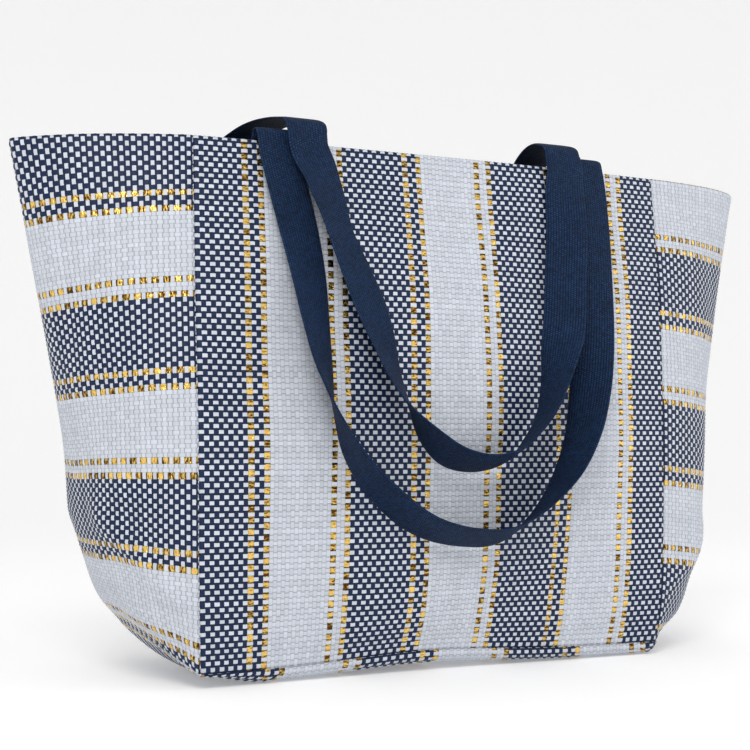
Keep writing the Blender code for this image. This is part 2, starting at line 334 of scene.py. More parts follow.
def unit(vectors):
    return vectors / np.maximum(np.linalg.norm(vectors, axis=-1, keepdims=True), 1e-9)


def grid_normals(points):
    """Unit normals of a grid of points, along its columns' direction crossed with its rows'."""
    return unit(np.cross(np.gradient(points, axis=1), np.gradient(points, axis=0)))


PANELS = {
    "front": lambda level: face_line(level, -1),
    "back": lambda level: face_line(level, 1),
    "left": lambda level: gusset_line(level, LEFT_SEAM, LEFT_FOLD),
    "right": lambda level: gusset_line(level, RIGHT_SEAM, RIGHT_FOLD),
}
# Which way each panel faces, as the sign of its own normal below, and where its dents start.
OUTWARD = {"front": 1, "back": -1, "left": -1, "right": 1}
DENT_SEEDS = {"front": 3, "back": 11, "left": 5, "right": 8}


def dents(panel, share, level):
    """Broad soft dents, in mm, that die out at the seams and at the rim."""
    generator = np.random.default_rng(DENT_SEEDS[panel])
    total = np.zeros_like(share)
    for _ in range(7):
        across, up = generator.uniform(0.8, 3.4, 2)
        turn = generator.uniform(0, 2 * math.pi)
        total += np.sin(2 * math.pi * (across * share + generator.choice((-1, 1)) * up * level) + turn)
    inner = (1 - (2 * share - 1) ** 4) * smoothstep(0, 0.1, level) * smoothstep(-0.02, 0.1, 1 - level)
    if panel in ("left", "right"):
        inner = inner * smoothstep(0.0, 0.3, np.abs(2 * share - 1))
    return total / 2.6 * inner


def gusset_ridge(panel, share, level):
    """The soft crease that runs from the gusset's fold down to its front and back seams."""
    near = np.abs(2 * share - 1)
    line = 0.34 - 0.22 * near**0.9
    front = np.where(share < 0.5, 1.0, 0.55)
    crest = np.exp(-(((level - line) / 0.035) ** 2))
    trough = np.exp(-(((level - line + 0.085) / 0.06) ** 2))
    ridge = crest - 0.55 * trough
    return 2.6 * ridge * front * smoothstep(0.1, 0.35, near) * smoothstep(0, 0.2, 1 - near)


def cloth_points(panel, depths, shares, softness=0.0):
    """Middle surface of a panel, in mm, as a grid of points.

    `depths` run down from the top of the rim: below zero they go down the hem inside the bag.
    `shares` run across the panel from 0 to 1: beyond those they run into the seam allowances.
    """
    inside = np.clip(shares, 0, 1)
    heights = np.linspace(0, 1, NET_ROWS)
    net = np.stack([spread(PANELS[panel](height), inside) for height in heights])
    square = grid_normals(net) * OUTWARD[panel]

    turn = math.pi / 2 * HEM_TURN
    angle = np.clip(depths, -turn, turn) / HEM_TURN
    drop = np.where(np.abs(depths) > turn, np.abs(depths) - turn, 0) + HEM_TURN
    inward = HEM_TURN * (1 - np.sin(angle))
    lift = HEM_TURN * np.cos(angle)
    foot = SEAM_LENGTH - SEAM_BACKOFF
    below = np.maximum(drop - foot, 0)
    level = 1 - np.minimum(drop, foot)[:, None] / SEAM_LENGTH + 0 * inside
    if panel in ("left", "right"):
        # The stripes sit lower against the rim at the fold than at the seams.
        reach = 1 - np.abs(2 * inside - 1)
        sag = STRIPE_DROP[panel] * reach**1.5 * smoothstep(0.0, 0.2, level)
        level -= sag * smoothstep(0, 0.12, 1 - level)
    place = level * (len(heights) - 1)
    low = np.clip(np.floor(place).astype(int), 0, len(heights) - 2)
    part = (place - low)[..., None]
    column = np.arange(len(shares))[None, :] + 0 * low
    points = net[low, column] * (1 - part) + net[low + 1, column] * part
    normals = unit(square[low, column] * (1 - part) + square[low + 1, column] * part)

    share = inside[None, :] + 0 * level
    soft = softness * dents(panel, share, level)
    if panel in ("left", "right"):
        soft = soft + (softness > 0) * gusset_ridge(panel, share, level)
    points = points + normals * (soft - inward[:, None])[..., None]
    points[..., 2] += lift[:, None] * (np.abs(depths) <= turn)[:, None]

    over_left = np.maximum(-shares, 0)[None, :, None]
    over_right = np.maximum(shares - 1, 0)[None, :, None]
    width = run_along(net[NET_ROWS // 2])[-1]
    points += seam_direction(panel, 0) * over_left * width
    points += seam_direction(panel, 1) * over_right * width
    points += foot_direction(panel) * below[:, None, None]
    return with_raised_corner(points)


def seam_direction(panel, end):
    """Which way the seam allowance runs from the left or right end of a panel's rows."""
    x = {"front": (1, -1), "back": (1, -1), "left": (1, 1), "right": (-1, -1)}[panel][end]
    y = {"front": (1, 1), "back": (-1, -1), "left": (1, -1), "right": (1, -1)}[panel][end]
    return np.array((x, y, 0)) / math.sqrt(2)


def foot_direction(panel):
    return {
        "front": np.array((0, 0.71, 0.71)),
        "back": np.array((0, -0.71, 0.71)),
        "left": np.array((0.78, 0, 0.62)),
        "right": np.array((-0.78, 0, 0.62)),
    }[panel]


def base_points(columns, rows):
    """Middle surface of the base, in mm: u and v beyond 1 run into the seam allowances, in mm."""
    u, v = np.meshgrid(np.clip(columns, -1, 1), np.clip(rows, -1, 1))
    turned_u = math.pi / 2 * np.clip((np.abs(u) - 0.93) / 0.07, 0, 1)
    slope = np.clip((-u - 1 + SLOPE_SHARE) / SLOPE_SHARE, 0, 1)
    turned_v = math.pi / 2 * np.clip((np.abs(v) - 0.86) / 0.14, 0, 1)
    y = np.sign(v) * (
        (BASE_HALF_DEPTH - BASE_TURN) * np.clip(np.abs(v) / 0.86, 0, 1) + BASE_TURN * np.sin(turned_v)
    )
    middle = 1 - (y / BASE_HALF_DEPTH) ** 2
    foot = gusset_line(0.0, LEFT_SEAM, LEFT_FOLD)
    low, high = np.interp(y, foot[:, 1], foot[:, 0]), 153 + 33 * middle
    centre, half = (low + high) / 2, (high - low) / 2
    to_right = (half - BASE_TURN) * np.clip(u / 0.93, 0, 1) + BASE_TURN * np.sin(turned_u)
    to_left = (half - SLOPE_LENGTH) * np.clip(-u / (1 - SLOPE_SHARE), 0, 1) + SLOPE_LENGTH * slope
    x = centre + np.where(u > 0, to_right, -to_left)
    y = y - np.sign(v) * 4 * (1 - u * u) * np.abs(v)
    rise = 1 - np.where(u > 0, np.cos(turned_u), 1 - slope**1.6) * np.cos(turned_v)
    raised = np.interp(y, foot[:, 1], foot[:, 2]) - SEAM_HEIGHT
    lift = np.where(u > 0, 3 * middle * smoothstep(0.9, 1, u), raised * smoothstep(0.0, 0.3, slope))
    edge = SEAM_HEIGHT - SEAM_BACKOFF + lift
    z = BASE_LIFT + (edge - BASE_LIFT) * rise
    z = z + foot_lift(x) * smoothstep(0.45, 1.0, -v) + 0.4 * foot_lift(x) * smoothstep(0.6, 1.0, v)
    points = np.stack([x, y, z], axis=2)
    over_u = (np.abs(columns) - 1).clip(0)[None, :, None] * np.sign(columns)[None, :, None]
    over_v = (np.abs(rows) - 1).clip(0)[:, None, None] * np.sign(rows)[:, None, None]
    half_width, half_depth = 182.0, 86.0
    points += half_width * (np.array((-0.78, 0, 0)) * over_u + np.array((0, 0, 0.62)) * np.abs(over_u))
    points += half_depth * (np.array((0, -0.71, 0)) * over_v + np.array((0, 0, 0.71)) * np.abs(over_v))
    return with_raised_corner(points)


# ---- Meshes ----


def add_object(name, data):
    thing = bpy.data.objects.new(name, data)
    bpy.context.scene.collection.objects.link(thing)
    return thing


def mesh_from(name, bm):
    """A smooth-shaded mesh of what the bmesh holds."""
    mesh = bpy.data.meshes.new(name)
    bm.to_mesh(mesh)
    bm.free()
    mesh.shade_smooth()
    return mesh


def closed_sheet(name, points, half_thickness, across, along, turned=False):
    """A closed sheet through a grid of points in mm.

    `half_thickness` is a grid, in mm, measured along the sheet's normals on each side. `across`
    and `along` give the columns and rows their places in the sheet's UV map, whose axes are
    swapped where it is turned.
    """
    rows, columns = points.shape[:2]
    bm = bmesh.new()
    bmesh.ops.create_grid(bm, x_segments=columns - 1, y_segments=rows - 1, size=0.5)
    bmesh.ops.solidify(bm, geom=bm.faces[:], thickness=1.0)
    mesh = mesh_from(name, bm)
    flat = np.empty(len(mesh.vertices) * 3)
    mesh.vertices.foreach_get("co", flat)
    flat = flat.reshape(-1, 3)
    column = np.rint((flat[:, 0] + 0.5) * (columns - 1)).astype(int)
    row = np.rint((flat[:, 1] + 0.5) * (rows - 1)).astype(int)
    side = np.where(flat[:, 2] > flat[:, 2].mean(), 1.0, -1.0)
    normals = grid_normals(points)[row, column]
    offset = normals * (half_thickness[row, column] * side)[:, None]
    placed = (points[row, column] + offset + SHIFT) * MM
    mesh.vertices.foreach_set("co", placed.astype(np.float32).ravel())
    corners = np.empty(len(mesh.loops), np.int32)
    mesh.loops.foreach_get("vertex_index", corners)
    uv = [across[column[corners]], along[row[corners]]]
    uv = np.stack(uv[::-1] if turned else uv, axis=1)
    layer = mesh.uv_layers.new(name="yarns")
    layer.data.foreach_set("uv", uv.astype(np.float32).ravel())
    mesh.update()
    return add_object(name, mesh)


def warp_places(phase, low, high):
    """Edges and middles of the warps from `low` to `high` mm, and their numbers in the stripes."""
    widths = np.array([WARP_WIDTHS[kind] for kind in STRIPES * REPEATS])
    edges = np.concatenate([[0.0], np.cumsum(widths)]) - LEAD * widths.sum() / REPEATS - phase
    middles = (edges[1:] + edges[:-1]) / 2
    places = np.stack([edges[:-1], middles], axis=1).ravel()
    numbers = np.arange(len(places)) / 2
    keep = np.flatnonzero((places > low - FLAT_WARP / 2) & (places < high + FLAT_WARP / 2))
    keep = keep[keep[0] % 2 : len(keep) - keep[-1] % 2]  # whole warps only
    return places[keep], numbers[keep]


def weft_places(low, high, pitch):
    """Edges and middles of the wefts from `low` to `high` mm, and their numbers."""
    numbers = np.arange(math.floor(low / pitch), math.ceil(high / pitch) + 0.25, 0.5)
    return numbers * pitch, numbers


def snap(places, *lines):
    """The places with the one nearest each line moved onto it."""
    places = places.copy()
    for line in lines:
        places[np.abs(places - line).argmin()] = line
    return places


def crowns(columns, rows, relief):
    """Height of the weave over its middle: crowned at each crossing, low between the yarns."""
    odd_column = (np.rint(columns * 2).astype(int) % 2)[None, :]
    odd_row = (np.rint(rows * 2).astype(int) % 2)[:, None]
    return relief * (odd_column + odd_row - 1.0)


def jitter(places, seed, amount):
    """Yarns vary a little in width: their edges wander by `amount` of a half yarn."""
    generator = np.random.default_rng(seed)
    gaps = np.diff(places)
    shift = generator.uniform(-amount, amount, len(places)) * np.append(gaps, gaps[-1])
    shift[:6] = shift[-6:] = 0
    return places + shift


# ---- Materials ----


class Signal:
    """A value in a shader node tree. Arithmetic on signals adds Math nodes to the tree."""

    def __init__(self, socket):
        self.socket, self.tree = socket, socket.id_data

    def __add__(self, other):
        return calc("ADD", self, other)

    def __sub__(self, other):
        return calc("SUBTRACT", self, other)

    def __rsub__(self, other):
        return calc("SUBTRACT", other, self)

    def __mul__(self, other):
        return calc("MULTIPLY", self, other)

    def __truediv__(self, other):
        return calc("DIVIDE", self, other)

    def __mod__(self, other):
        return calc("FLOORED_MODULO", self, other)

    def __pow__(self, power):
        return calc("POWER", self, power)

    def __abs__(self):
        return calc("ABSOLUTE", self)

    __radd__ = __add__
    __rmul__ = __mul__


def tree_of(*values):
    return next(value.tree for value in values if isinstance(value, Signal))


def put(socket, value):
    """Links a signal to a socket, or sets the socket to a plain value."""
    if isinstance(value, Signal):
        value.tree.links.new(value.socket, socket)
    else:
        socket.default_value = value


def calc(operation, *values):
    """A Math node's output. Values are signals or numbers."""
    node = tree_of(*values).nodes.new("ShaderNodeMath")
    node.operation = operation
    for socket, value in zip(node.inputs, values):
        put(socket, value)
    return Signal(node.outputs[0])


def ramped(value, low, high, to_low=0.0, to_high=1.0):
    """`value` mapped smoothly from low..high to to_low..to_high."""
    node = value.tree.nodes.new("ShaderNodeMapRange")
    node.interpolation_type = "SMOOTHSTEP"
    for socket, number in zip(node.inputs, (value, low, high, to_low, to_high)):
        put(socket, number)
    return Signal(node.outputs[0])


def mixed(factor, first, second, kind="FLOAT", mode="MIX"):
    """first where factor is 0 and second where it is 1. Colours are of kind RGBA."""
    node = tree_of(factor, first, second).nodes.new("ShaderNodeMix")
    node.data_type = kind
    node.blend_type = mode
    first_input, second_input, output = {"FLOAT": (2, 3, 0), "RGBA": (6, 7, 2)}[kind]
    put(node.inputs["Factor"], factor)
    put(node.inputs[first_input], first)
    put(node.inputs[second_input], second)
    return Signal(node.outputs[output])


def shaded(colour, shade):
    """The colour times a grey of this brightness."""
    grey = shade.tree.nodes.new("ShaderNodeCombineColor")
    for socket in grey.inputs:
        put(socket, shade)
    return mixed(1.0, colour, Signal(grey.outputs[0]), "RGBA", "MULTIPLY")


def joined(x, y, z):
    node = tree_of(x, y, z).nodes.new("ShaderNodeCombineXYZ")
    for socket, value in zip(node.inputs, (x, y, z)):
        put(socket, value)
    return Signal(node.outputs[0])


def split(vector):
    node = vector.tree.nodes.new("ShaderNodeSeparateXYZ")
    put(node.inputs[0], vector)
    return Signal(node.outputs[0]), Signal(node.outputs[1])


def noise(vector, scale, detail=2.0, roughness=0.5):
    node = vector.tree.nodes.new("ShaderNodeTexNoise")
    settings = {"Scale": scale, "Detail": detail, "Roughness": roughness, "Vector": vector}
    for label, value in settings.items():
        put(node.inputs[label], value)
    return Signal(node.outputs["Fac"])


def cell_random(vector):
    node = vector.tree.nodes.new("ShaderNodeTexWhiteNoise")
    node.noise_dimensions = "3D"
    put(node.inputs["Vector"], vector)
    return Signal(node.outputs["Value"])


def stripe_paint(place, paint):
    """The paint of each kind of warp, in hard-edged stripes, at this share of one repeat."""
    node = place.tree.nodes.new("ShaderNodeValToRGB")
    node.color_ramp.interpolation = "CONSTANT"
    elements = node.color_ramp.elements
    starts = [n for n in range(len(STRIPES)) if n == 0 or STRIPES[n] != STRIPES[n - 1]]
    while len(elements) < len(starts):
        elements.new(0.5)
    for element, start in zip(elements, starts):
        element.position = start / len(STRIPES)
        element.color = (*paint[STRIPES[start]], 1.0)
    put(node.inputs[0], place)
    return Signal(node.outputs["Color"])


def new_group(name, inputs, outputs):
    """An empty node group, its inputs as signals by name, and the sockets of its outputs."""
    group = bpy.data.node_groups.new(name, "ShaderNodeTree")
    for label, kind, default in inputs:
        socket = group.interface.new_socket(label, in_out="INPUT", socket_type=kind)
        socket.default_value = default
    for label, kind in outputs:
        group.interface.new_socket(label, in_out="OUTPUT", socket_type=kind)
    given = group.nodes.new("NodeGroupInput").outputs
    signals = {socket.name: Signal(socket) for socket in given if socket.name}
    return group, signals, group.nodes.new("NodeGroupOutput").inputs


def build_weave_group():
    """Plain weave in yarn units: the colour, gold mask, roughness and height of each crossing."""
    colours = bpy.context.scene.tote_colours
    inputs = [
        ("Yarns", "NodeSocketVector", (0, 0, 0)),
        ("White", "NodeSocketColor", (*colours.white, 1)),
        ("Gold", "NodeSocketColor", (*colours.gold, 1)),
        ("Painted Film Shade", "NodeSocketColor", (*colours.painted_film_shade, 1)),
        ("Gap Shade", "NodeSocketFloat", 0.45),
    ]
    outputs = [
        ("Color", "NodeSocketColor"),
        ("Gold Mask", "NodeSocketFloat"),
        ("Roughness", "NodeSocketFloat"),
        ("Height", "NodeSocketFloat"),
    ]
    group, given, result = new_group("tape_weave", inputs, outputs)
    u, v = split(given["Yarns"])
    warp, weft = calc("FLOOR", u), calc("FLOOR", v)
    in_warp = abs(u - warp - 0.5)  # distance from the middle of the yarn, 0.5 at its edge
    in_weft = abs(v - weft - 0.5)
    over = calc("GREATER_THAN", (warp + weft) % 2.0, 0.5)  # 1 where the warp is on top

    place = (warp + 0.5) % len(STRIPES) / len(STRIPES)
    black, full = (0, 0, 0), (1, 1, 1)
    paint = {"n": tuple(colours.navy), "w": tuple(colours.white), "g": black}
    warp_colour = stripe_paint(place, paint)
    gold_warp = stripe_paint(place, {"n": black, "w": black, "g": full})

    # Three random values: for each crossing, for each warp and for each weft.
    chance = cell_random(joined(warp, weft, 3.0))
    warp_chance = cell_random(joined(warp, 900.0, 7.0))
    weft_chance = cell_random(joined(900.0, weft, 8.0))

    # The weft shows as a band over every other warp, and its ends show beside the warps between.
    inside = 0.305 + weft_chance * 0.05 - in_weft
    band = ramped(inside, -0.012, 0.018)
    reach = 0.465 + gold_warp * 0.015
    end = ramped(in_warp - reach, -0.012, 0.02)
    band_here = mixed(over, 1.0, end)
    weft_shows = band * band_here
    warp_shows = 1.0 - weft_shows
    gold_mask = gold_warp * warp_shows

    along_warp = joined(u * 9.0, v * 0.8, 1.0)
    along_weft = joined(u * 0.8, v * 9.0, 5.0)
    streaks = mixed(weft_shows, noise(along_warp, 1.0), noise(along_weft, 1.0))
    crinkle = noise(joined(u * 1.6, v * 3.4, chance * 9.0), 1.0, 1.0, 0.4)

    # Painted reflections on the gold film: each crinkle and cell is painted bright gold or dark, and
    # the film is painted darker towards the ends of each float, where it arches down.
    film_painted_light = crinkle * 1.35 + chance * 0.42 - in_weft**2.0 * 1.1
    film = mixed(ramped(film_painted_light, 0.52, 1.0), given["Painted Film Shade"], given["Gold"], "RGBA")
    warp_colour = mixed(gold_warp, warp_colour, film, "RGBA")
    colour = mixed(weft_shows, warp_colour, given["White"], "RGBA")

    # Shade gathers between neighbouring yarns and where one yarn dives below another.
    beside = ramped(in_warp, 0.44, 0.495) * warp_shows
    rim = ramped(abs(inside + 0.02), 0.0, 0.05, 1.0, 0.0) * band_here
    dive = ramped(abs(in_warp - reach), 0.0, 0.045, 1.0, 0.0) * (over * band)
    dark = calc("MAXIMUM", beside, calc("MAXIMUM", rim, dive)) * (1.0 - given["Gap Shade"])
    dark = calc("MAXIMUM", dark, (1.0 - over) * warp_shows * 0.22)

    yarn = mixed(weft_shows, warp_chance, weft_chance)
    shade = (0.88 + chance * 0.12) * (0.92 + yarn * 0.10) * (0.88 + streaks * 0.22) * (1.0 - dark)
    put(result["Color"], shaded(colour, shade))
    put(result["Gold Mask"], gold_mask)
    put(result["Roughness"], mixed(gold_mask, 0.36 + streaks * 0.22, 0.14 + crinkle * 0.3))

    weft_height = 0.65 + (1.0 - (in_warp * 2.0) ** 3.0) * 0.35
    risen = 0.30 + (1.0 - (in_weft * 2.0) ** 2.0) * 0.75
    height = mixed(weft_shows, mixed(over, 0.22, risen), weft_height) - beside * 0.35
    fibre = mixed(gold_mask, streaks * 0.4, crinkle * 2.2)
    put(result["Height"], height + fibre)
    return group


def build_webbing_group():
    """Ribbed webbing: rows of small beads, from a UV map in millimetres."""
    inputs = [
        ("Millimetres", "NodeSocketVector", (0, 0, 0)),
        ("Yarn", "NodeSocketColor", (0.01, 0.02, 0.05, 1)),
        ("Bead", "NodeSocketFloat", 1.5),
    ]
    outputs = [
        ("Color", "NodeSocketColor"),
        ("Roughness", "NodeSocketFloat"),
        ("Height", "NodeSocketFloat"),
    ]
    group, given, result = new_group("ribbed_webbing", inputs, outputs)
    x, y = split(given["Millimetres"])
    across = x / (given["Bead"] * 1.25)
    column = calc("FLOOR", across)
    along = y / given["Bead"] + column % 2.0 * 0.5  # neighbouring ribs are half a bead apart
    rib, bead = (abs(calc("SINE", place * math.pi)) for place in (across, along))
    height = rib**0.6 * bead**0.6
    chance = cell_random(joined(column, calc("FLOOR", along), 1.0))
    fuzz = noise(given["Millimetres"], 2.2, 3.0, 0.6)
    wear = noise(given["Millimetres"], 0.05)
    # Painted light and shade: each bead's crest is painted lighter and the hollows between beads
    # darker; the random and wear terms are the yarn's own tone
    shade = (0.12 + height * 1.35) * (0.7 + chance * 0.6) * (0.75 + wear * 0.5)
    put(result["Color"], shaded(given["Yarn"], shade))
    put(result["Roughness"], 0.52 + fuzz * 0.22)
    put(result["Height"], height + fuzz * 0.3)
    return group


def new_material(name):
    material = bpy.data.materials.new(name)
    material.use_nodes = True
    return material, material.node_tree, material.node_tree.nodes["Principled BSDF"].inputs


def bumped(shader, height, distance):
    bump = height.tree.nodes.new("ShaderNodeBump")
    bump.inputs["Distance"].default_value = distance
    bump.inputs["Strength"].default_value = 1.0
    put(bump.inputs["Height"], height)
    put(shader["Normal"], Signal(bump.outputs[0]))


def cloth_material(name, group, place, settings, links, bump, specular):
    """A material round a node group, which takes the piece's yarn map at its input `place`."""
    material, tree, shader = new_material(name)
    node = tree.nodes.new("ShaderNodeGroup")
    node.node_tree = group
    for label, value in settings.items():
        node.inputs[label].default_value = value
    map_node = tree.nodes.new("ShaderNodeUVMap")
    map_node.uv_map = "yarns"
    put(node.inputs[place], Signal(map_node.outputs[0]))
    for output, socket in links.items():
        put(shader[socket], Signal(node.outputs[output]))
    bumped(shader, Signal(node.outputs["Height"]), bump)
    shader["Specular IOR Level"].default_value = specular
    return material


def weave_material():
    name = "striped_tape_cloth"
    links = {"Color": "Base Color", "Gold Mask": "Metallic", "Roughness": "Roughness"}
    return bpy.data.materials.get(name) or cloth_material(
        name, build_weave_group(), "Yarns", {"Gap Shade": GAP_SHADE}, links, CLOTH_BUMP, 0.22
    )


def webbing_material(name, bead):
    settings = {"Yarn": (*bpy.context.scene.tote_colours.webbing, 1), "Bead": bead}
    links = {"Color": "Base Color", "Roughness": "Roughness"}
    return bpy.data.materials.get(name) or cloth_material(
        name,
        bpy.data.node_groups.get("ribbed_webbing") or build_webbing_group(),
        "Millimetres",
        settings,
        links,
        WEBBING_BUMP,
        0.14,
    )


def thread_material(name, colour):
    material, tree, shader = new_material(name)
    place = Signal(tree.nodes.new("ShaderNodeTexCoord").outputs["Object"])
    wound = noise(place, 1400.0)
    put(shader["Base Color"], shaded((*colour, 1), ramped(wound, 0.3, 0.7, 0.75, 1.0)))
    bumped(shader, wound, THREAD_BUMP)
    shader["Roughness"].default_value = 0.55
    return material


# ---- Pieces ----


def dress(piece, material, body, slot, *nodes):
    piece.data.materials.append(material)
    if body:
        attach(piece, body)
    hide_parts(*nodes)
    return piece


def weave(name, points, across, along, nodes, turned=False):
    """A sheet of the striped cloth through `points`, with a crown at each crossing of its yarns."""
    cloth = bpy.context.scene.tote_cloth
    thick = cloth.thickness / MM / 2 + crowns(across, along, cloth.relief / MM)
    piece = closed_sheet(name, points, thick, across, along, turned)
    return dress(piece, weave_material(), "bag", "woven_tape", *nodes)


def panel_sheet(panel, depths, shares, numbers):
    """A panel's points and the numbers of the yarns up it, ordered so that its outside faces out."""
    points = cloth_points(panel, depths, shares, bpy.context.scene.tote_cloth.softness / MM)
    if OUTWARD[panel] < 0:
        return points[:, ::-1], numbers[::-1]
    return points, numbers


def make_panel(panel, node, hem):
    """A front or back panel: warps upright, wefts level, hem turned in over the rim."""
    places, warps = warp_places(FRONT_PHASE, -ALLOWANCE, PANEL_WIDTH + ALLOWANCE)
    shares = snap(jitter(places, 21, 0.1) / PANEL_WIDTH, 0, 1)
    depths, wefts = weft_places(-PANEL_HEM, SEAM_LENGTH + SEAM_YARNS * WEFT, WEFT)
    depths = snap(jitter(depths, 22, 0.07), 0, CLOTH_FOOT)
    points, warps = panel_sheet(panel, depths, shares, warps)
    piece = weave(f"{panel}_cloth", points, warps, wefts, (node, hem))


def make_gusset(panel, node, hem, phase):
    """A side gusset: the same cloth turned, so that its stripes run level round the bag."""
    columns, wefts = weft_places(-SEAM_YARNS, GUSSET_WEFTS + SEAM_YARNS, 1.0)
    shares = jitter(columns, 31, 0.08) / GUSSET_WEFTS
    depths, warps = warp_places(phase, -GUSSET_HEM, SEAM_LENGTH + ALLOWANCE)
    depths = snap(jitter(depths, 32, 0.08), 0, CLOTH_FOOT)
    points, wefts = panel_sheet(panel, depths, shares, wefts)
    piece = weave(f"{panel}_gusset_cloth", points, wefts, warps, (node, hem), turned=True)


def make_base():
    places, warps = warp_places(BASE_PHASE, -ALLOWANCE, BASE_WIDTH + ALLOWANCE)
    columns = snap(places / BASE_WIDTH * 2 - 1, -1, 1)
    rows, wefts = weft_places(-SEAM_YARNS, BASE_WEFTS + SEAM_YARNS, 1.0)
    points = base_points(columns, rows / BASE_WEFTS * 2 - 1)
    piece = weave("base_cloth", points, warps, wefts, ("base_panel",))


def strip(name, line, across, width, thickness, columns=14):
    """A woven strip along `line`, with rounded selvedges. Everything is in mm."""
    shares = np.sin(np.linspace(-math.pi / 2, math.pi / 2, columns + 1))
    points = line[:, None, :] + unit(across)[:, None, :] * (shares * width / 2)[None, :, None]
    half = thickness / 2 * np.sqrt(np.clip(1 - np.abs(shares) ** 7, 0.04, 1))
    half = np.broadcast_to(half, points.shape[:2])
    return closed_sheet(name, points, half, shares * width / 2 + WEBBING_MARGIN, run_along(line))


def make_tape(name, line, direction, node):
    """A folded tape over the raw edges of a seam, inside the bag."""
    line = with_raised_corner(resampled(line, 3.0))
    direction = np.asarray(direction, float) / np.linalg.norm(direction)
    across = np.tile(direction, (len(line), 1))
    piece = strip(name, line + direction * TAPE_OFFSET, across, TAPE_WIDTH, TAPE_THICKNESS, 8)
    dress(piece, webbing_material("seam_tape", 0.9), "bag", "binding", node)


def make_tapes():
    up = np.linspace(0.055, 1 - 26 / SEAM_RISE, 60)
    for face, side in (("front", 1), ("back", -1)):
        for end, seam in (("left", LEFT_SEAM), ("right", RIGHT_SEAM)):
            line = np.array([at(seam, level) for level in up]) * (1, side, 1)
            inward = (-np.sign(line[0, 0]), side, 0.0)
            make_tape(f"seam_tape_{face}_{end}", line, inward, f"seam_binding_{face}_{end}")
    for face, side in (("front", -1), ("back", 1)):
        line = resampled(face_line(0.0, side), 1.0)[20:-20]
        make_tape(f"base_tape_{face}", line, (0, -side, 1), f"base_binding_{face}")
    for end, out in (("left", -1), ("right", 1)):
        line = resampled(PANELS[end](0.0), 1.0)[20:-20]
        make_tape(f"base_tape_{end}", line, (-out, 0, 0.8), f"base_binding_{end}")


def smooth_line(stations, count):
    """A smooth curve through the stations, as `count` points spaced evenly."""
    reach = run_along(stations[:, :3])
    return smooth_track(stations, reach, np.linspace(0, reach[-1], count))


def loop_line(stations):
    """The middle of a hanging loop and the direction across it, with a point every 2 mm."""
    stations = np.asarray(stations, float)
    track = smooth_line(stations, int(run_along(stations[:, :3])[-1] / 2.0))
    line, turn = track[:, :3], np.radians(track[:, 3:])
    run = unit(np.gradient(line, axis=0))
    away = unit(np.array((0.0, -1.0, 0.0)) + run * run[:, 1:2])
    within = np.cross(away, run)
    return line, within * np.cos(turn) - away * np.sin(turn)


def over_rim(x, inner, outer, height, tail, samples=14):
    """The middle of webbing as it turns over a rim: up inside by `tail`, round, and outside."""
    middle, reach = (inner + outer) / 2, abs(outer - inner) / 2
    angles = np.linspace(0, math.pi, samples)
    arc = [(x, middle + (inner - middle) * math.cos(a), height + reach * math.sin(a)) for a in angles]
    return np.array([(x, inner, height - tail), *arc])


def turned_across(points, sign):
    return np.tile((float(sign), 0.0, 0.0), (len(points), 1))


def webbing_piece(name, line, across, body, node):
    """A length of the handles' webbing."""
    trim = bpy.context.scene.tote_trim
    piece = strip(name, line, across, trim.webbing_width / MM, trim.webbing_thickness / MM)
    return dress(piece, webbing_material("navy_webbing", 1.5), body, "webbing", node)


def make_front_handle():
    line, across = loop_line(FRONT_LOOP)
    first, last = (
        over_rim(x, inner_y(x, 353.0, -1), tip[1], tip[2], 2.5)[:-1]
        for x, tip in zip(FRONT_HANDLE_X, (line[0], line[-1]))
    )
    points = np.vstack([first, line, last[::-1]])
    directions = np.vstack([turned_across(first, 1), across, turned_across(last, -1)])
    piece = webbing_piece("front_handle_webbing", points, directions, None, "front_handle_loop")
    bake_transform(piece)


def face_y(x, height, side):
    """Where the front or back panel's middle surface lies at this x and height."""
    row = face_line((height - SEAM_HEIGHT) / SEAM_RISE, side)
    return float(np.interp(x, row[:, 0], row[:, 1]))


def inner_y(x, height, side):
    """Where the middle of a handle's sewn end lies, inside the hem."""
    return face_y(x, height, side) - side * 3.4


def make_handle_ends():
    for face, side, places in (("front", -1, FRONT_HANDLE_X), ("back", 1, BACK_HANDLE_X)):
        for end, x in zip(("left", "right"), places):
            heights = np.linspace(315, 353.4, 20)
            line = np.array([(x, inner_y(x, height, side), height) for height in heights])
            lean = inner_y(x + 10, 340, side) - inner_y(x - 10, 340, side)
            across = np.tile((20.0, lean, 0.0), (len(line), 1))
            name = f"{face}_handle_{end}"
            webbing_piece(f"{name}_sewn_end", line, across, "bag", f"{name}_end")


def make_back_handle():
    for end, x, bridge in zip(("left", "right"), BACK_HANDLE_X, (LEFT_BRIDGE, RIGHT_BRIDGE)):
        foot = inner_y(x, 351.5, 1)
        line = smooth_line(np.array([(x, foot, 351.0), (x, foot - 0.4, 354.5), *bridge], float), 50)
        name = f"back_handle_{end}"
        piece = webbing_piece(f"{name}_crossing", line, turned_across(line, 1), None, f"{name}_bridge")
        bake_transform(piece)

    line, across = loop_line(BACK_LOOP)
    joins = []
    for tip, bridge in ((line[0], LEFT_BRIDGE), (line[-1], RIGHT_BRIDGE)):
        last = np.array(bridge[-1], float)
        before = last + (np.array(bridge[-2]) - last) * 0.25
        joins.append(smooth_line(np.array([before, last, tip + (0, 2.6, 5.6), tip]), 14)[:-1])
    points = np.vstack([joins[0], line, joins[1][::-1]])
    directions = np.vstack([turned_across(joins[0], 1), across, turned_across(joins[1], -1)])
    piece = webbing_piece("back_handle_webbing", points, directions, None, "back_handle_loop")
    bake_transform(piece)


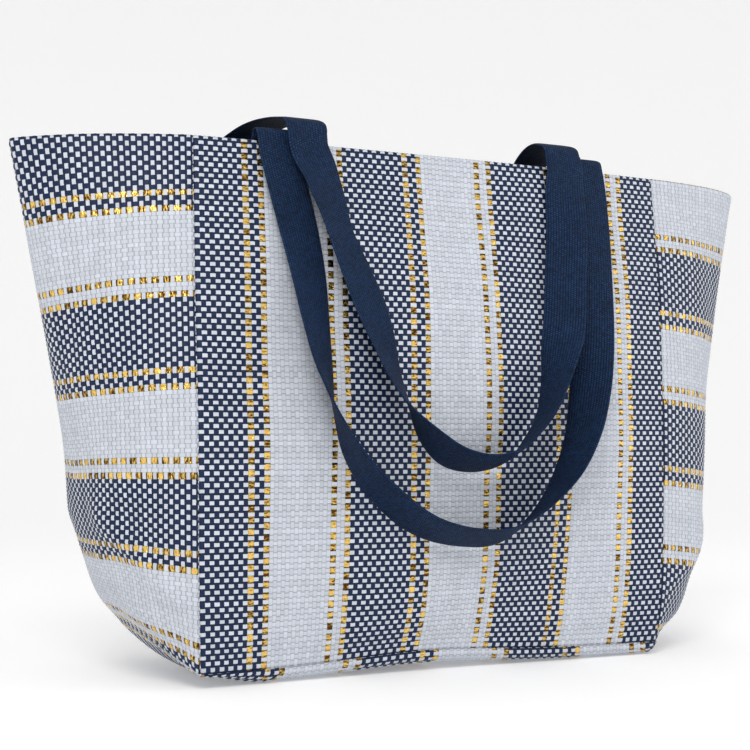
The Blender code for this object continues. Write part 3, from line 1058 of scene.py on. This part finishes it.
def add_stitch(bm, start, end, radius, normal):
    """One stitch: a slim bead of thread lying from start to end."""
    start, end = Vector(start), Vector(end)
    run = end - start
    along = run.normalized()
    out = Vector(normal)
    out = (out - along * out.dot(along)).normalized()
    side = out.cross(along)
    turn = Matrix((side, out, along)).transposed().to_4x4()
    size = Matrix.Diagonal((radius, radius, run.length / 2, 1.0))
    place = Matrix.Translation((start + end) / 2) @ turn @ size
    bmesh.ops.create_uvsphere(bm, u_segments=7, v_segments=6, radius=1.0, matrix=place)


def stitch_along(bm, points, normals, radius, pitch, fill=0.72):
    """A row of stitches along a line of points, in metres. Each fills a share of its pitch."""
    run = run_along(points)
    for number in range(int(run[-1] / pitch)):
        low = (number + 0.14) * pitch
        start, end = points_along(points, (low, low + fill * pitch))
        add_stitch(bm, start, end, radius, normals[np.searchsorted(run, low)])


def surface_line(panel, depth, shares):
    """Points on the outside of a panel at this depth, with normals, in metres."""
    softness = bpy.context.scene.tote_cloth.softness / MM
    grid = cloth_points(panel, np.array([depth - 1.0, depth, depth + 1.0]), shares, softness)
    normals = grid_normals(grid)[1] * OUTWARD[panel] * (1 if depth > 0 else -1)
    return (grid[1] + SHIFT) * MM, normals


def finish_stitches(name, bm, material):
    piece = add_object(name, mesh_from(name, bm))
    piece.data.materials.append(material)
    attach(piece, "bag")


def make_stitching():
    trim, cloth = bpy.context.scene.tote_trim, bpy.context.scene.tote_cloth
    white = thread_material("white_thread", (0.82, 0.83, 0.86))
    navy = thread_material("navy_thread", (0.016, 0.024, 0.06))
    lift = cloth.thickness / 2 + cloth.relief * 0.7
    shares = np.linspace(0.004, 0.996, 240)
    for panel in PANELS:
        bm = bmesh.new()
        for depth in (TOPSTITCH_DEPTH, -TOPSTITCH_DEPTH):
            points, normals = surface_line(panel, depth, shares)
            stitch_along(bm, points + normals * lift, normals, trim.thread / 2, trim.stitch_length)
        finish_stitches(f"{panel}_rim_topstitch", bm, white)

    # Stitches that show in the upright seams, sunk a little between the two cloths.
    bm = bmesh.new()
    levels = np.linspace(0.01, 0.985, 120)
    for seam in (LEFT_SEAM, RIGHT_SEAM):
        for flip in (1, -1):
            line = with_raised_corner(np.array([at(seam, level) for level in levels]) * (1, flip, 1))
            out = np.array((np.sign(line[0, 0]), -flip, 0)) / math.sqrt(2)
            normals = np.tile(out, (len(line), 1))
            stitch_along(bm, (line + SHIFT) * MM - normals * 0.0006, normals, 0.00042, 0.0052, 0.38)
    finish_stitches("upright_seam_stitches", bm, white)

    # The handles' sewn boxes. The front handle hides the outside of its own.
    bm = bmesh.new()
    for side, places, faces in ((-1, FRONT_HANDLE_X, (-1,)), (1, BACK_HANDLE_X, (-1, 1))):
        for x in places:
            for face in faces:
                sew_box(bm, x, side, face)
    finish_stitches("handle_box_stitches", bm, navy)


def sew_box(bm, x, side, face):
    """A stitched box with a cross in it, inside the rim where face is -1 and outside where it is 1."""
    low, high, reach = 319.0, 346.0, 12.0
    corners = [(x - reach, low), (x + reach, low), (x + reach, high), (x - reach, high)]
    legs = [(corners[k], corners[(k + 1) % 4]) for k in range(4)]
    legs += [(corners[0], corners[2]), (corners[1], corners[3])]
    offset = BOX_OFFSETS[face] * side
    normals = np.tile((0.0, float(side * face), 0.0), (24, 1))
    radius = bpy.context.scene.tote_trim.thread / 2
    for leg in legs:
        line = [(px, face_y(px, pz, side) + offset, pz) for px, pz in np.linspace(*leg, 24)]
        stitch_along(bm, (np.array(line) + SHIFT) * MM, normals, radius, 0.0034, 0.7)


# ---- Stage ----


def area_light(name, place, aim, size, power, colour=(1, 1, 1)):
    light = bpy.data.lights.new(name, "AREA")
    light.shape = "DISK"
    light.size = size
    light.energy = power
    light.color = colour
    lamp = add_object(name, light)
    lamp.location = place
    lamp.rotation_euler = (Vector(aim) - Vector(place)).to_track_quat("-Z", "Y").to_euler()


def make_stage():
    scene = bpy.context.scene
    camera = bpy.data.cameras.new("camera")
    camera.lens = 72.4
    camera.sensor_width = 36.0
    camera.shift_y = 0.087
    camera.clip_end = 30.0
    eye = add_object("camera", camera)
    eye.location = (-0.5184, -0.9428, 0.154)
    eye.rotation_euler = (math.radians(90), 0, math.radians(-26.9))
    scene.camera = eye

    # The floor is flat round the bag and curves up into a backdrop further out.
    bm = bmesh.new()
    bmesh.ops.create_grid(bm, x_segments=96, y_segments=96, size=7.0)
    for vertex in bm.verts:
        vertex.co.z = -0.0002 + 5.0 * float(smoothstep(1.4, 7.5, vertex.co.length)) ** 1.4
    floor = add_object("floor", mesh_from("floor", bm))
    material, _, shader = new_material("pale_floor")
    shader["Base Color"].default_value = (0.88, 0.88, 0.88, 1)
    shader["Roughness"].default_value = 0.9
    shader["Specular IOR Level"].default_value = 0.1
    shader["Emission Color"].default_value = (1, 1, 1, 1)
    shader["Emission Strength"].default_value = 0.22
    floor.data.materials.append(material)

    world = bpy.data.worlds.new("studio")
    scene.world = world
    world.use_nodes = True
    sky = world.node_tree.nodes["Background"]
    sky.inputs["Color"].default_value = (1.0, 1.0, 1.0, 1)
    seen = Signal(world.node_tree.nodes.new("ShaderNodeLightPath").outputs["Is Camera Ray"])
    put(sky.inputs["Strength"], ramped(seen, 0.0, 1.0, 0.62, 1.05))
    area_light("key", (-1.1, -1.7, 1.9), (0, 0, 0.15), 1.2, 26, (1.0, 0.99, 0.97))
    area_light("fill", (1.9, -1.0, 1.0), (0, 0, 0.18), 1.4, 6, (0.95, 0.97, 1.0))
    scene.view_settings.view_transform = "Standard"


# ---- Operators ----


class TOTE_OT_panels(bpy.types.Operator):
    """Weave the front and back panels with their hems"""

    bl_idname = "tote.panels"
    bl_label = "Front and Back Panels"

    def execute(self, context):
        make_panel("front", "front_panel", "rim_hem_front")
        make_panel("back", "back_panel", "rim_hem_back")
        return {"FINISHED"}


class TOTE_OT_gussets(bpy.types.Operator):
    """Weave the folded side gussets with their hems"""

    bl_idname = "tote.gussets"
    bl_label = "Side Gussets"

    def execute(self, context):
        make_gusset("left", "left_gusset", "rim_hem_left", LEFT_PHASE)
        make_gusset("right", "right_gusset", "rim_hem_right", RIGHT_PHASE)
        return {"FINISHED"}


class TOTE_OT_base(bpy.types.Operator):
    """Weave the base"""

    bl_idname = "tote.base"
    bl_label = "Base"

    def execute(self, context):
        make_base()
        return {"FINISHED"}


class TOTE_OT_tapes(bpy.types.Operator):
    """Bind the seams inside the bag with tape"""

    bl_idname = "tote.tapes"
    bl_label = "Seam Tapes"

    def execute(self, context):
        make_tapes()
        return {"FINISHED"}


class TOTE_OT_handles(bpy.types.Operator):
    """Make both webbing handles and their sewn ends"""

    bl_idname = "tote.handles"
    bl_label = "Handles"

    def execute(self, context):
        make_handle_ends()
        make_front_handle()
        make_back_handle()
        return {"FINISHED"}


class TOTE_OT_stitching(bpy.types.Operator):
    """Sew the rim, the upright seams and the handles' ends"""

    bl_idname = "tote.stitching"
    bl_label = "Stitching"

    def execute(self, context):
        make_stitching()
        return {"FINISHED"}


class TOTE_OT_stage(bpy.types.Operator):
    """Set up the floor, lights and camera"""

    bl_idname = "tote.stage"
    bl_label = "Stage"

    def execute(self, context):
        make_stage()
        return {"FINISHED"}


OPERATORS = (
    TOTE_OT_panels,
    TOTE_OT_gussets,
    TOTE_OT_base,
    TOTE_OT_tapes,
    TOTE_OT_handles,
    TOTE_OT_stitching,
    TOTE_OT_stage,
)
SETTINGS = {
    "tote_cloth": ToteClothSettings,
    "tote_colours": ToteColourSettings,
    "tote_trim": ToteTrimSettings,
}


class TOTE_PT_sidebar(bpy.types.Panel):
    """Lists the settings and the steps of the bag"""

    bl_label = "Tote Bag"
    bl_idname = "TOTE_PT_sidebar"
    bl_space_type = "VIEW_3D"
    bl_region_type = "UI"
    bl_category = "Tote Bag"

    def draw(self, context):
        for setting, group in SETTINGS.items():
            for label in group.__annotations__:
                self.layout.prop(getattr(context.scene, setting), label)
        for operator in OPERATORS:
            self.layout.operator(operator.bl_idname)


def register():
    for group in (*SETTINGS.values(), *OPERATORS, TOTE_PT_sidebar):
        bpy.utils.register_class(group)
    for setting, group in SETTINGS.items():
        setattr(bpy.types.Scene, setting, bpy.props.PointerProperty(type=group))


def unregister():
    for setting in SETTINGS:
        delattr(bpy.types.Scene, setting)
    for group in reversed((*SETTINGS.values(), *OPERATORS, TOTE_PT_sidebar)):
        bpy.utils.unregister_class(group)


def main():
    register()
    for operator in OPERATORS:
        group, step = operator.bl_idname.split(".")
        getattr(getattr(bpy.ops, group), step)()


if __name__ == "__main__":
    main()
